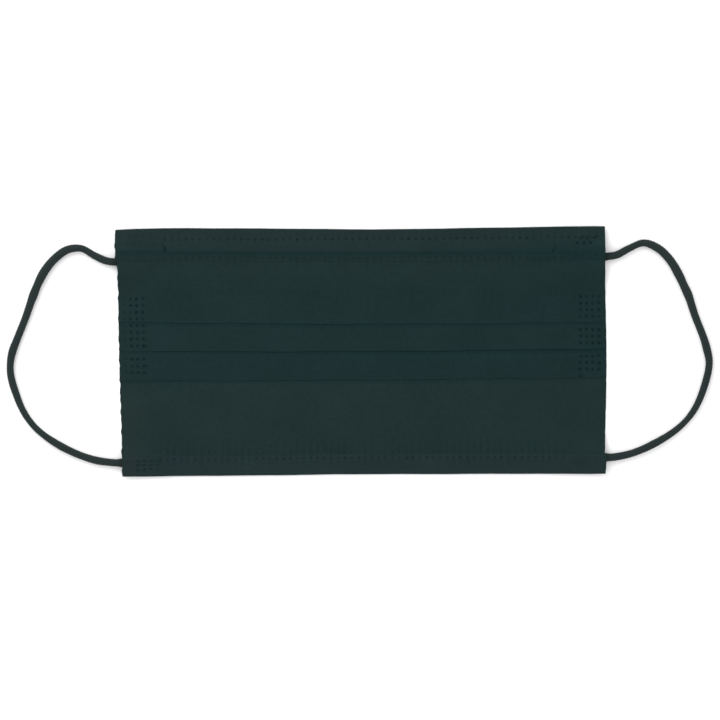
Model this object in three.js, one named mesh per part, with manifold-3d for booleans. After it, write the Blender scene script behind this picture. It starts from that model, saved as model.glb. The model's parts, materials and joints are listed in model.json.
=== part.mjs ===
// A disposable face mask, lying flat with its outer face up. A nonwoven laminate is knife-pleated
// across, its layers are welded together at the sides, and it is hemmed along the nose edge and
// the chin edge. A round elastic ear loop is welded behind each side and lies out on the surface.
// Millimetres, +Z up, nose edge towards +Y, origin on the surface under the middle of the mask.

import * as THREE from 'three';
import { mergeVertices } from 'three/addons/utils/BufferGeometryUtils.js';
import Module from 'manifold-3d';

// Driving dimensions

const PLY = 1.0; // thickness of the laminate, and of a hem
const LAYER_GAP = 0.2; // air between two layers of a closed pleat
const SEAT_GAP = 0.3; // air between two separate pieces
const FOLD_RADIUS = 0.6; // of the laminate's middle, at the edge of a pleat
const PLEAT_DEPTH = 8.4; // from a pleat's outer fold back to its inner fold

const CORD = 2.5; // diameter of an ear loop
const WELDED_CORD = { height: 1.0, width: 4.4 }; // a loop's end, flattened by its weld
const FLATTENING = { full: 5.5, none: 14 }; // distances from the loop's end

const WIRE = { left: -69.9, right: 69.5, y: 36.7, width: 2.4, thickness: 0.6 };

// Lines across the mask: y where each meets the left side, the middle and the right side.
const TOP_EDGE = { left: 43.7, middle: 43.95, right: 45.1 };
const TOP_HEM_LINE = { left: 32.6, middle: 32.3, right: 33.1 };
const OUTER_FOLDS = [
  { left: 10.3, middle: 9.75, right: 10.5 },
  { left: -0.1, middle: 0.0, right: 0.8 },
  { left: -10.7, middle: -10.4, right: -9.5 },
];
const BOTTOM_HEM_LINE = { left: -38.1, middle: -37.1, right: -36.9 };
const BOTTOM_EDGE = { left: -45.1, middle: -44.05, right: -43.9 };

// The sides are straight: x of each at the level of the highest and the lowest corner.
const LEFT_SIDE = { top: -87.7, bottom: -85.4 };
const RIGHT_SIDE = { top: 88.0, bottom: 88.2 };
const CORNER_LEVEL = 45.1; // y of the highest corner, and -y of the lowest
const HALF_WIDTH = 88;
const HEM_OVERHANG = 0.53; // the top hem's left end reaches this far past the laminate

// The side welds press the pleats flatter, and the hem swells over the wire.
const SIDE_PRESS = { share: 0.15, from: 66, full: 78, fade: 4 };
const SIDE_WELD = { from: 79, to: 85.5 };
const WIRE_RAMP = { from: 0.3, to: 2.5 }; // past each end of the wire
const WIRE_FLANK = { from: 0.2, to: 1.3 }; // to each side of the wire

// The laminate rises onto the first pleat from this y to this far before the pleat's inner fold.
const RISE = { from: 30, before: 2, steps: 7 };

// A level between the two borders of each hem's front leg: as a share of the way from the top
// edge to the wire, and as a distance below the bottom hem's line.
const HEM_BETWEEN = { topShare: 0.4, belowBottomLine: 2.8 };

// The route of each ear loop along the surface, from its upper end to its lower end. The first
// and last stretches are hidden behind the mask: the upper ends turn up into the corners, and
// the lower ends run straight in.
const LEFT_ROUTE = [
  [-81.1, 41.2], [-81.1, 38.4], [-81.9, 35.2], [-84.2, 32.9], [-87.4, 32.1], [-91, 32.4],
  [-95.4, 34.3], [-100.2, 36.9], [-105.2, 36.4], [-109.6, 33.3], [-113, 29.3], [-115.4, 24.9],
  [-117.1, 20.8], [-118.5, 17], [-119.7, 13.4], [-120.9, 10.2], [-122.2, 7], [-123.5, 3.7],
  [-124.8, 0.2], [-125.6, -3.5], [-125.7, -7.3], [-125, -11.2], [-123.7, -15.2], [-122.2, -19.2],
  [-120.1, -23.2], [-117.3, -26.9], [-113.8, -30.1], [-109.7, -32.9], [-105.2, -35.4], [-100.2, -37.6],
  [-94.7, -39.3], [-88.8, -40.1], [-85.6, -40.2], [-79.6, -40.2], [-73.6, -40.2],
];
const RIGHT_ROUTE = [
  [80.9, 41.8], [80.9, 39.6], [81.7, 36.8], [83.8, 34.7], [86.6, 33.9], [89.5, 34.1],
  [92.3, 34.6], [96.9, 37], [102, 38.9], [107.2, 36.9], [111.3, 32.9], [114.2, 28.2],
  [116.4, 23.6], [118.1, 19.8], [119.3, 16.2], [120.4, 12.8], [121.6, 9.7], [122.8, 6.7],
  [123.9, 3.6], [124.8, 0.2], [125.5, -3.2], [125.3, -6.7], [124.5, -10.2], [123.4, -13.8],
  [122, -17.5], [120.1, -21.2], [117.6, -24.6], [114.4, -27.7], [110.7, -30.4], [106.6, -32.8],
  [102, -35.1], [96.8, -37], [91.1, -38.1], [88, -38.2], [82, -38.2], [76, -38.2],
];
const LOOP_SIDES = 8;
const LOOP_STEPS = 34;

// How high the laminate's underside rides over a loop, at a distance from the loop's end.
const RIDE_OVER_LOOP = [
  { fromEnd: 0, height: 1.4 },
  { fromEnd: 3, height: 1.45 },
  { fromEnd: 6.5, height: 1.8 },
  { fromEnd: 9.5, height: 2.3 },
  { fromEnd: 12, height: 2.55 },
];
const RIDE_REACH = 12; // the rise dies away this far to each side of a loop
const UPPER_HIDDEN_POINTS = 6; // of a route, at its start
const LOWER_HIDDEN_POINTS = 4; // of a route, at its end

// Stations across the mask where its sections stand, as shares of its half width.
const HALF_STATIONS = [0.25, 0.5, 0.7, 0.797, 0.823, 0.855, 0.9, 0.94, 0.972, 1];
const STATIONS = [...HALF_STATIONS.map((u) => -u).reverse(), 0, ...HALF_STATIONS];

// Heights of the laminate's middle in the pleats, and of a hem's front leg lying on one layer

const PITCH = PLY + LAYER_GAP;
const LOW = PLY / 2;
const MID = LOW + PITCH;
const HIGH = MID + PITCH;
const OUTER_FOLD_Z = (MID + HIGH) / 2;
const INNER_FOLD_Z = (LOW + MID) / 2;
const STEP_RADIUS = FOLD_RADIUS + PITCH; // of the laminate where it passes round a fold
const FOLD_REACH = FOLD_RADIUS + PLY / 2; // from a fold's centre to its outside
const HEM_Z = PLY + SEAT_GAP + PLY / 2;
const HEM_SWELL = WIRE.thickness + SEAT_GAP;
const HEM_ROLL_RADIUS = SEAT_GAP + PLY / 2; // of the hem's middle, round the laminate's cut edge
const CUT_EDGE_INSET = PLY + SEAT_GAP; // of the laminate's cut edge inside a hem

// Helpers

const { clamp, lerp, smoothstep, degToRad, radToDeg } = THREE.MathUtils;
const at = (line, u) =>
  line.middle + ((line.right - line.left) / 2) * u + ((line.right + line.left) / 2 - line.middle) * u * u;

function readTable(rows, key, value, where) {
  let next = rows.findIndex((row) => row[key] >= where);
  if (next === -1) next = rows.length - 1;
  if (next === 0) return rows[0][value];
  const low = rows[next - 1];
  const high = rows[next];
  return lerp(low[value], high[value], clamp((where - low[key]) / (high[key] - low[key]), 0, 1));
}

// x at a share u of the half width, on the level y.
function across(u, y) {
  const share = (y + CORNER_LEVEL) / (2 * CORNER_LEVEL);
  const left = lerp(LEFT_SIDE.bottom, LEFT_SIDE.top, share);
  const right = lerp(RIGHT_SIDE.bottom, RIGHT_SIDE.top, share);
  return lerp(left, right, (u + 1) / 2);
}

const HIDDEN_STRETCHES = [LEFT_ROUTE, RIGHT_ROUTE].flatMap((route) => [
  route.slice(0, UPPER_HIDDEN_POINTS),
  route.slice(-LOWER_HIDDEN_POINTS).reverse(),
]);

// How high the laminate's underside rides over one hidden stretch: the most that any segment
// of the stretch lifts it.
function rideOverStretch(stretch, point) {
  let ride = 0;
  let passed = 0;
  for (let i = 1; i < stretch.length; i += 1) {
    const from = new THREE.Vector2(...stretch[i - 1]);
    const run = new THREE.Vector2(...stretch[i]).sub(from);
    const share = clamp(point.clone().sub(from).dot(run) / run.lengthSq(), 0, 1);
    const height = readTable(RIDE_OVER_LOOP, 'fromEnd', 'height', passed + share * run.length());
    const away = from.addScaledVector(run, share).distanceTo(point);
    const lift = height * Math.cos((Math.min(1, away / RIDE_REACH) * Math.PI) / 2) ** 2;
    ride = Math.max(ride, lift);
    passed += run.length();
  }
  return ride;
}

function rideOver(x, y) {
  const point = new THREE.Vector2(x, y);
  return HIDDEN_STRETCHES.reduce((ride, stretch) => ride + rideOverStretch(stretch, point), 0);
}

// The share of its height that the pleat stack keeps under the side welds.
function pressed(x, y) {
  const top = OUTER_FOLDS[0].right + PLEAT_DEPTH;
  const bottom = OUTER_FOLDS[2].left;
  const inBand = smoothstep(Math.abs(x), SIDE_PRESS.from, SIDE_PRESS.full);
  const belowTop = 1 - smoothstep(y, top, top + SIDE_PRESS.fade);
  const aboveBottom = smoothstep(y, bottom - SIDE_PRESS.fade, bottom);
  return 1 - SIDE_PRESS.share * inBand * belowTop * aboveBottom;
}

function place(u, y, z) {
  const x = across(u, y);
  return new THREE.Vector3(x, y, z * pressed(x, y) + rideOver(x, y));
}

// Sections: each is a centreline from the nose side to the chin side, made of points that
// hold y, z and the unit normal of the sheet's outer face.

const level = (ys, z) => ys.map((y) => ({ y, z, ny: 0, nz: 1 }));

// side is 1 where the outer face looks away from the arc's centre, and -1 towards it.
function arc(y, z, radius, from, to, side, steps) {
  const points = [];
  for (let i = 0; i <= steps; i += 1) {
    const angle = degToRad(lerp(from, to, i / steps));
    points.push({
      y: y + radius * Math.cos(angle),
      z: z + radius * Math.sin(angle),
      ny: side * Math.cos(angle),
      nz: side * Math.sin(angle),
    });
  }
  return points;
}

// A soft slope between two levels.
function slope(fromY, toY, fromZ, toZ, steps) {
  const points = [];
  for (let i = 0; i <= steps; i += 1) {
    const share = i / steps;
    const grade = ((toZ - fromZ) / (toY - fromY)) * 6 * share * (1 - share);
    points.push({
      y: lerp(fromY, toY, share),
      z: lerp(fromZ, toZ, smoothstep(share, 0, 1)),
      ny: -grade / Math.hypot(1, grade),
      nz: 1 / Math.hypot(1, grade),
    });
  }
  return points;
}

// The laminate's ways round one pleat: over its outer fold, back, and round its inner fold.
function foldOver(outerY, innerY) {
  return [
    ...arc(outerY, OUTER_FOLD_Z, FOLD_RADIUS, 90, 270, 1, 5),
    ...arc(innerY, INNER_FOLD_Z, FOLD_RADIUS, 90, -90, -1, 5),
  ];
}

// From under one pleat's outer fold up over the next pleat's inner fold.
function stepUp(outerY, nextInnerY) {
  const run = outerY - nextInnerY;
  const drop = OUTER_FOLD_Z - INNER_FOLD_Z;
  const reach = Math.hypot(run, drop);
  const climb = radToDeg(Math.asin((2 * STEP_RADIUS) / reach) - Math.atan2(drop, run));
  return [
    ...arc(outerY, OUTER_FOLD_Z, STEP_RADIUS, 270, 270 - climb, -1, 4),
    ...arc(nextInnerY, INNER_FOLD_Z, STEP_RADIUS, 90 - climb, 90, 1, 4),
  ];
}

// Levels of the front leg of the top hem, which the laminate under it shares.
const topHemLevels = (u) => [
  at(TOP_EDGE, u) - CUT_EDGE_INSET,
  lerp(at(TOP_EDGE, u), WIRE.y, HEM_BETWEEN.topShare),
  WIRE.y + WIRE.width / 2 + WIRE_FLANK.to,
  WIRE.y + WIRE.width / 2 + WIRE_FLANK.from,
  WIRE.y - WIRE.width / 2 - WIRE_FLANK.from,
  WIRE.y - WIRE.width / 2 - WIRE_FLANK.to,
  at(TOP_HEM_LINE, u),
];
const SWELL_SHARES = [0, 0, 0, 1, 1, 0, 0]; // of the top hem's swell, at each of those levels
const bottomHemLevels = (u) => [
  at(BOTTOM_HEM_LINE, u),
  at(BOTTOM_HEM_LINE, u) - HEM_BETWEEN.belowBottomLine,
  at(BOTTOM_EDGE, u) + CUT_EDGE_INSET,
];

function panelSection(u) {
  const outerYs = OUTER_FOLDS.map((fold) => at(fold, u) + FOLD_REACH);
  const innerYs = OUTER_FOLDS.map((fold) => at(fold, u) + PLEAT_DEPTH - FOLD_REACH);
  const points = level(topHemLevels(u), LOW);
  points.push(...slope(RISE.from, innerYs[0] + RISE.before, LOW, HIGH, RISE.steps));
  points.push(...foldOver(outerYs[0], innerYs[0]));
  points.push(...stepUp(outerYs[0], innerYs[1]));
  points.push(...foldOver(outerYs[1], innerYs[1]));
  points.push(...stepUp(outerYs[1], innerYs[2]));
  points.push(...foldOver(outerYs[2], innerYs[2]));
  const lowerShares = [0, 0.15, 0.35, 0.58, 0.7, 0.8, 0.9];
  points.push(...level(lowerShares.map((share) => lerp(outerYs[2], at(BOTTOM_HEM_LINE, u), share)), LOW));
  points.push(...level(bottomHemLevels(u), LOW));
  return points;
}

// Over the wire the top hem's front leg is lifted from the laminate by the wire's thickness.
function topHemSection(u) {
  const edge = at(TOP_EDGE, u);
  const x = across(u, WIRE.y);
  const past = Math.max(WIRE.left - x, x - WIRE.right);
  const swell = HEM_SWELL * (1 - smoothstep(past, WIRE_RAMP.from, WIRE_RAMP.to));
  const leg = level(topHemLevels(u), HEM_Z);
  leg.forEach((point, i) => {
    point.z += swell * SWELL_SHARES[i];
  });
  return [
    { y: edge - PLY / 2, z: 0, ny: 1, nz: 0 },
    ...arc(edge - CUT_EDGE_INSET, PLY, HEM_ROLL_RADIUS, 0, 90, 1, 4),
    ...leg.slice(1),
  ];
}

function bottomHemSection(u) {
  const edge = at(BOTTOM_EDGE, u);
  return [
    ...level(bottomHemLevels(u).slice(0, -1), HEM_Z),
    ...arc(edge + CUT_EDGE_INSET, PLY, HEM_ROLL_RADIUS, 90, 180, 1, 4),
    { y: edge + PLY / 2, z: 0, ny: -1, nz: 0 },
  ];
}

// A sheet of one ply lofted through its section at each station, closed at both ends.
function sheet(section, stations) {
  const triangles = [];
  const rings = stations.map((u) => {
    const points = section(u);
    const skin = (out) => points.map((p) => place(u, p.y + p.ny * out, p.z + p.nz * out));
    return [...skin(PLY / 2), ...skin(-PLY / 2).reverse()];
  });
  const size = rings[0].length;
  for (let ring = 0; ring < rings.length - 1; ring += 1) {
    for (let i = 0; i < size; i += 1) {
      const a = ring * size + i;
      const b = ring * size + ((i + 1) % size);
      triangles.push(a, b, b + size, a, b + size, a + size);
    }
  }
  const last = (rings.length - 1) * size;
  for (let i = 0; i < size / 2 - 1; i += 1) {
    const back = size - 1 - i;
    triangles.push(i, back, back - 1, i, back - 1, i + 1);
    triangles.push(last + i, last + back - 1, last + back, last + i, last + i + 1, last + back - 1);
  }
  const geometry = new THREE.BufferGeometry().setFromPoints(rings.flat());
  geometry.setIndex(triangles);
  return geometry;
}

// Welded block inside one closed pleat at one side, from the middle of its lowest layer to
// the middle of its highest.
function weldBlock(fold, side) {
  const box = new THREE.BoxGeometry(1, 1, 1, 2, 1, 1);
  const position = box.attributes.position;
  const from = side > 0 ? SIDE_WELD.from : -SIDE_WELD.to;
  const width = SIDE_WELD.to - SIDE_WELD.from;
  for (let i = 0; i < position.count; i += 1) {
    const u = (from + width * (position.getX(i) + 0.5)) / HALF_WIDTH;
    const y = at(fold, u) + lerp(PLY / 2, PLEAT_DEPTH - PLY / 2, position.getY(i) + 0.5);
    const point = place(u, y, lerp(LOW, HIGH, position.getZ(i) + 0.5));
    position.setXYZ(i, point.x, point.y, point.z);
  }
  return box;
}

const wasm = await Module();
wasm.setup();

function toSolid(geometry) {
  geometry.deleteAttribute('normal');
  geometry.deleteAttribute('uv');
  const merged = mergeVertices(geometry);
  return new wasm.Manifold(
    new wasm.Mesh({
      numProp: 3,
      vertProperties: new Float32Array(merged.attributes.position.array),
      triVerts: new Uint32Array(merged.index.array),
    }),
  );
}

function toGeometry(solid) {
  const mesh = solid.getMesh();
  const geometry = new THREE.BufferGeometry();
  geometry.setAttribute('position', new THREE.BufferAttribute(mesh.vertProperties, 3));
  geometry.setIndex(new THREE.BufferAttribute(mesh.triVerts, 1));
  return geometry;
}

function pleatedPanel() {
  let solid = toSolid(sheet(panelSection, STATIONS));
  for (const fold of OUTER_FOLDS) {
    solid = solid.add(toSolid(weldBlock(fold, -1)));
    solid = solid.add(toSolid(weldBlock(fold, 1)));
  }
  return toGeometry(solid);
}

function topHem() {
  const overhang = HEM_OVERHANG / HALF_WIDTH;
  return sheet(topHemSection, [-1 - overhang, ...STATIONS.slice(1)]);
}

const bottomHem = () => sheet(bottomHemSection, STATIONS);

function noseWire() {
  const wire = new THREE.BoxGeometry(WIRE.right - WIRE.left, WIRE.width, WIRE.thickness);
  return wire.translate((WIRE.left + WIRE.right) / 2, WIRE.y, PLY + SEAT_GAP + WIRE.thickness / 2);
}

// A round cord whose ends are flattened on the surface where they are welded to the mask.
function earLoop(route) {
  const path = new THREE.CatmullRomCurve3(route.map(([x, y]) => new THREE.Vector3(x, y, CORD / 2)));
  const corners = [];
  for (let i = 0; i < LOOP_SIDES; i += 1) {
    const angle = (2 * Math.PI * i) / LOOP_SIDES;
    corners.push(new THREE.Vector2((Math.cos(angle) * CORD) / 2, (Math.sin(angle) * CORD) / 2));
  }
  const cord = new THREE.ExtrudeGeometry(new THREE.Shape(corners), {
    steps: LOOP_STEPS,
    bevelEnabled: false,
    extrudePath: path,
  });
  const centres = path.getSpacedPoints(LOOP_STEPS);
  const stepLength = path.getLength() / LOOP_STEPS;
  const position = cord.attributes.position;
  for (let i = 0; i < position.count; i += 1) {
    const point = new THREE.Vector3().fromBufferAttribute(position, i);
    const distances = centres.map((centre) => centre.distanceTo(point));
    const ring = distances.indexOf(Math.min(...distances));
    const fromEnd = Math.min(ring, LOOP_STEPS - ring) * stepLength;
    const flat = clamp((FLATTENING.none - fromEnd) / (FLATTENING.none - FLATTENING.full), 0, 1);
    const offset = point.sub(centres[ring]).multiplyScalar(lerp(1, WELDED_CORD.width / CORD, flat));
    const height = position.getZ(i) * lerp(1, WELDED_CORD.height / CORD, flat);
    position.setXYZ(i, centres[ring].x + offset.x, centres[ring].y + offset.y, height);
  }
  return cord;
}

// Materials and assembly

const fabric = new THREE.MeshStandardMaterial({ color: 0x223232, roughness: 0.85, metalness: 0 });
const hemFabric = new THREE.MeshStandardMaterial({ color: 0x253333, roughness: 0.85, metalness: 0 });
const elastic = new THREE.MeshStandardMaterial({ color: 0x202e2e, roughness: 0.9, metalness: 0 });
const coatedWire = new THREE.MeshStandardMaterial({ color: 0xd8d8d4, roughness: 0.5, metalness: 0.2 });

const PIECES = [
  { name: 'pleated_panel', geometry: pleatedPanel(), material: fabric },
  { name: 'top_hem', geometry: topHem(), material: hemFabric },
  { name: 'bottom_hem', geometry: bottomHem(), material: hemFabric },
  { name: 'nose_wire', geometry: noseWire(), material: coatedWire },
  { name: 'ear_loop_left', geometry: earLoop(LEFT_ROUTE), material: elastic },
  { name: 'ear_loop_right', geometry: earLoop(RIGHT_ROUTE), material: elastic },
];

const mask = new THREE.Group();
for (const { name, geometry, material } of PIECES) {
  geometry.computeVertexNormals();
  const piece = new THREE.Mesh(geometry, material);
  piece.name = name;
  mask.add(piece);
}

export default mask;
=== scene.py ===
# A disposable face mask lying flat, outer face up. The laminate is one continuous sheet, knife-pleated
# three times, with its spot welds pressed in; the hems, the nose wire and the two ear loops lie where
# the solid model has them. Lengths are in millimetres until a mesh is made, when they become metres.

import json
import math
from collections import namedtuple

import bpy
import numpy as np
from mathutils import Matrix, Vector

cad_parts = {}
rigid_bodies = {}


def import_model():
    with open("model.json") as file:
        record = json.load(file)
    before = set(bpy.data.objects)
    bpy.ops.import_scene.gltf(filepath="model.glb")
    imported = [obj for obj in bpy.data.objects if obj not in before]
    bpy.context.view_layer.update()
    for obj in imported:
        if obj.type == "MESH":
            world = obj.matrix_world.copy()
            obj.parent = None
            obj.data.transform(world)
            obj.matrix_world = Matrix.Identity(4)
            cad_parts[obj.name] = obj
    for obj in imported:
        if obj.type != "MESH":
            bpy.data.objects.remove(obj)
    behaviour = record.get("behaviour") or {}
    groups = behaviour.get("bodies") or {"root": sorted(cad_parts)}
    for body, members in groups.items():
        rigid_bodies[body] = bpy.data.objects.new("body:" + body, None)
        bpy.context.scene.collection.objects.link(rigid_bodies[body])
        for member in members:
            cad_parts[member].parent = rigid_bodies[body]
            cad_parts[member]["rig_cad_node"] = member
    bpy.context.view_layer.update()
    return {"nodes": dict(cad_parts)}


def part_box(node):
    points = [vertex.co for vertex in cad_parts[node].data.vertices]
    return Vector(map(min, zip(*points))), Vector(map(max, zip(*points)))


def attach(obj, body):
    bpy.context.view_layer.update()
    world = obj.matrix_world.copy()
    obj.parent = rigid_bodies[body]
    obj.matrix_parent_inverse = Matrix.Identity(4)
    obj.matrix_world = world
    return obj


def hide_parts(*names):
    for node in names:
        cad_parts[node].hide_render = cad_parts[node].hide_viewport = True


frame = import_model()

MM = 0.001


def box_of(node):
    low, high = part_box(node)
    return np.array(low) / MM, np.array(high) / MM


# -------- outline, around the solid model

PANEL_LOW, PANEL_HIGH = box_of("pleated_panel")
TOP_HEM_LOW, TOP_HEM_HIGH = box_of("top_hem")
WIRE_LOW, WIRE_HIGH = box_of("nose_wire")

CORNER_LEVEL = TOP_HEM_HIGH[1]  # y of the highest corner, and -y of the lowest
HALF_WIDTH = 88.0
# How far a hem reaches past the panel at its left and right end.
TOP_OVERHANG = (1.2 * (PANEL_LOW[0] - TOP_HEM_LOW[0]), 0.05)
BOTTOM_OVERHANG = (0.0, 0.6)

# Lines across the mask: y at evenly spaced places from the left side to the right side.
TOP_EDGE = (43.6, 44.18, 43.85, 44.33, CORNER_LEVEL - 0.22)
TOP_WELD_LINE = (40.1, 40.15, 41.1)
CREASE_LINE = (36.3, 36.05, 35.75, 36.6, 37.5)  # along the lower side of the wire
TOP_LOWER_WELD_LINE = (33.9, 33.5, 34.3)
TOP_HEM_LINE = (32.6, 32.3, 33.1)
OUTER_FOLDS = ((10.45, 9.75, 10.45), (-0.1, -0.05, 0.9), (-10.75, -10.4, -9.5))
BOTTOM_UPPER_WELD_LINE = (-36.7, -36.3, -35.9)
BOTTOM_HEM_LINE = (-38.1, -37.1, -36.9)
BOTTOM_WELD_LINE = (-39.0, -38.4, -38.0)
BOTTOM_EDGE = (-CORNER_LEVEL, -44.75, -44.32, -44.18, -44.05)

# The sides: x at evenly spaced levels from the lowest corner to the highest corner.
LEFT_SIDE = (-85.3, -86.03, -86.68, -87.03, -87.5)
RIGHT_SIDE = (87.65, 88.4, 88.65, 88.2, 88.0)
CUT_WAVES = ((6.8, 0.09), (3.7, 0.09), (2.3, 0.04))  # of the left side's rough cut: length and height
CLEAN_CUT = 0.2  # share of those waves that the right side has
# How far edges and folds wander off their lines.
WANDER = {"edge": 0.08, "top hem line": 0.25, "bottom hem line": 0.2, "outer fold": 0.16, "inner fold": 0.1}

# -------- sizes of the cloth

PLY = 0.24  # thickness of the laminate
HEM_PLY = 0.22
CUT_PLY = 0.06  # thickness of a hem at its cut edge
THINNING = 1.6  # how far from that edge a hem has its full thickness
CLOTH_GAP = 0.03  # between a hem and the laminate
WIRE_GAP = 0.13  # between the wire and the hem over it
WIRE_BED_GAP = 0.1  # between the wire and the laminate under it
FLOOR_GAP = 0.01
BACK_LEG = 6.5  # how far a hem reaches in behind the laminate
EDGE_GAP = HEM_PLY + 2 * CLOTH_GAP  # from a hem's turned edge to the laminate's edge inside it

PLEAT_DEPTH = 8.4
PITCH = 0.25  # from one layer of a closed pleat to the next
FOLD_RADIUS = PITCH / 2
STEP_RADIUS = FOLD_RADIUS + PITCH
FOLD_REACH = FOLD_RADIUS + PLY / 2

# Heights of the laminate's middle in the three layers of a closed pleat, and of its folds' middles.
LOW = PLY / 2
MID = LOW + PITCH
HIGH = MID + PITCH
OUTER_FOLD_Z = (MID + HIGH) / 2
INNER_FOLD_Z = (LOW + MID) / 2

# Heights of the laminate's middle, and of a hem's front and back leg, at the two borders.
TOP_LAMINATE_Z = WIRE_LOW[2] - WIRE_BED_GAP - PLY / 2
TOP_FRONT_Z = TOP_LAMINATE_Z + PLY / 2 + CLOTH_GAP + HEM_PLY / 2
BACK_Z = HEM_PLY / 2 + FLOOR_GAP
BOTTOM_LAMINATE_Z = BACK_Z + HEM_PLY / 2 + CLOTH_GAP + PLY / 2
BOTTOM_FRONT_Z = BOTTOM_LAMINATE_Z + PLY / 2 + CLOTH_GAP + HEM_PLY / 2

# The share of its height that the stack of pleats loses towards the sides and again close to them,
# with the distances from the middle between which this grows, and at each fold, from the highest down:
# the middle one stands open more than the others.
SIDE_PRESS = ((0.45, 66.0, 78.0), (0.13, 83.0, 86.5))
FOLD_PRESS = (0.42, 0.22, 0.47)
PRESS_FADE = 4.0  # how far above and below the stack the press fades out

# How the laminate rides over a loop's hidden end: distances from the end, and the heights there.
RIDE_FROM_END = (0, 5.5, 12, 14)
RIDE_HEIGHTS = (1.06, 1.1, 2.22, 2.56)
RIDE_REACH = 12.0  # how far beside the loop the laminate comes down again
HIDDEN_LENGTH = 17.0  # of a loop, from its end to just outside the mask

# -------- sizes of the cords

CORD = 2.5
# How the cords' thickness changes: distance from a loop's upper end, and share of CORD.
CORD_THICKNESS = np.array([
    (15, 1.0), (18, 1.03), (25, 0.9), (33, 1.08), (45, 1.17), (49, 1.09), (52.5, 1.22), (56, 1.05),
    (62, 1.0), (70, 1.0), (74, 1.08), (79, 0.95), (87, 0.98), (93, 0.93), (101, 0.81), (110, 0.9),
    (116, 1.03), (124, 0.98), (131, 1.04), (134, 1.0),
])
WELDED_CORD = {"height": 1.0, "width": 4.4}
FLATTENING = {"full": 5.5, "none": 14.0}  # distances from a loop's end
CORD_SPOTS = {"pitch": 1.35, "depth": 0.16}  # weld spots on a loop's flattened end
# Wales round a cord, the length of a stitch, and the heights of the relief.
KNIT = {"wales": 12, "stitch": 1.05, "rib": 0.075, "loop": 0.05, "uneven": 0.03}
RING_STEP = 0.28
CORD_SIDES = 60

# Each loop's route along the surface, from its upper end to its lower end.
ROUTES = {"left": [
    (-81.1, 41.2), (-81.1, 38.4), (-81.9, 35.2), (-84.2, 32.9), (-87.4, 32.1), (-91, 32.4),
    (-95.4, 34.3), (-100.2, 36.9), (-105.2, 36.4), (-109.6, 33.3), (-113, 29.3), (-115.4, 24.9),
    (-117.1, 20.8), (-118.5, 17), (-119.7, 13.4), (-120.9, 10.2), (-122.2, 7), (-123.5, 3.7),
    (-124.8, 0.2), (-125.6, -3.5), (-125.7, -7.3), (-125, -11.2), (-123.7, -15.2),
    (-122.2, -19.2), (-120.1, -23.2), (-117.3, -26.9), (-113.8, -30.1), (-109.7, -32.9),
    (-105.2, -35.4), (-100.2, -37.6), (-94.7, -39.3), (-88.8, -40.1), (-85.6, -40.2),
    (-79.6, -40.2), (-73.6, -40.2),
], "right": [
    (80.9, 41.8), (80.9, 39.6), (81.7, 36.8), (83.8, 34.7), (86.6, 33.9), (89.5, 34.1),
    (92.3, 34.6), (96.9, 37), (102, 38.9), (107.2, 36.9), (111.3, 32.9), (114.2, 28.2),
    (116.4, 23.6), (118.1, 19.8), (119.3, 16.2), (120.4, 12.8), (121.6, 9.7), (122.8, 6.7),
    (123.9, 3.6), (124.8, 0.2), (125.5, -3.2), (125.3, -6.7), (124.5, -10.2), (123.4, -13.8),
    (122, -17.5), (120.1, -21.2), (117.6, -24.6), (114.4, -27.7), (110.7, -30.4), (106.6, -32.8),
    (102, -35.1), (96.8, -37), (91.1, -38.1), (88, -38.2), (82, -38.2), (76, -38.2),
]}

RANDOM = np.random.default_rng(7)


# -------- helpers

def clamp(value, low=0.0, high=1.0):
    return np.minimum(np.maximum(value, low), high)


def smooth(value, low, high):
    share = clamp((value - low) / (high - low))
    return share * share * (3 - 2 * share)


def steps(first, last, count):
    """count evenly spaced values from first up to, but not onto, last, each with its number."""
    for k in range(count):
        yield k, first + (last - first) * k / count


def at(line, u):
    """The smooth curve through evenly spaced values, the first at u = -1 and the last at u = 1."""
    stations = np.linspace(-1, 1, len(line))
    return np.polyval(np.polyfit(stations, line, len(line) - 1), u)


def across(u, y):
    """x at the share u of the way from the left side (-1) to the right side (1), at the level y."""
    left = at(LEFT_SIDE, y / CORNER_LEVEL)
    right = at(RIGHT_SIDE, y / CORNER_LEVEL)
    return left + (right - left) * (u + 1) / 2


def share_at(x, y):
    """The inverse of across."""
    left, right = across(-1.0, y), across(1.0, y)
    return 2 * (x - left) / (right - left) - 1


# -------- camera and light

CAMERA_DISTANCE = 1000.0
VIEW_WIDTH = 258.94
VIEW_CENTRE = (0.0, -3.2)


def new_object(name, data):
    thing = bpy.data.objects.new(name, data)
    bpy.context.scene.collection.objects.link(thing)
    return thing


def make_camera():
    data = bpy.data.cameras.new("camera")
    data.sensor_width = 36
    data.lens = data.sensor_width * CAMERA_DISTANCE / VIEW_WIDTH
    data.clip_start = 0.01
    data.clip_end = 10
    camera = new_object("camera", data)
    height = CAMERA_DISTANCE + HIGH + PLY / 2
    camera.location = [value * MM for value in (*VIEW_CENTRE, height)]
    bpy.context.scene.camera = camera


def make_light():
    world = bpy.data.worlds.new("studio")
    world.use_nodes = True
    background = world.node_tree.nodes["Background"]
    background.inputs["Color"].default_value = (1, 1, 1, 1)
    background.inputs["Strength"].default_value = 1.25
    bpy.context.scene.world = world

    data = bpy.data.lights.new("window", "AREA")
    data.shape = "RECTANGLE"
    data.size = 0.6
    data.size_y = 0.4
    data.energy = 2.6
    light = new_object("window", data)
    light.location = (-0.3, 0.48, 0.46)
    light.rotation_euler = (-light.location).to_track_quat("-Z", "Y").to_euler()

    view = bpy.context.scene.view_settings
    view.view_transform = "Standard"
    view.look = "None"


# -------- meshes

SHARP_ANGLE = math.radians(65)  # an edge that turns further is shaded as a crease


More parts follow.
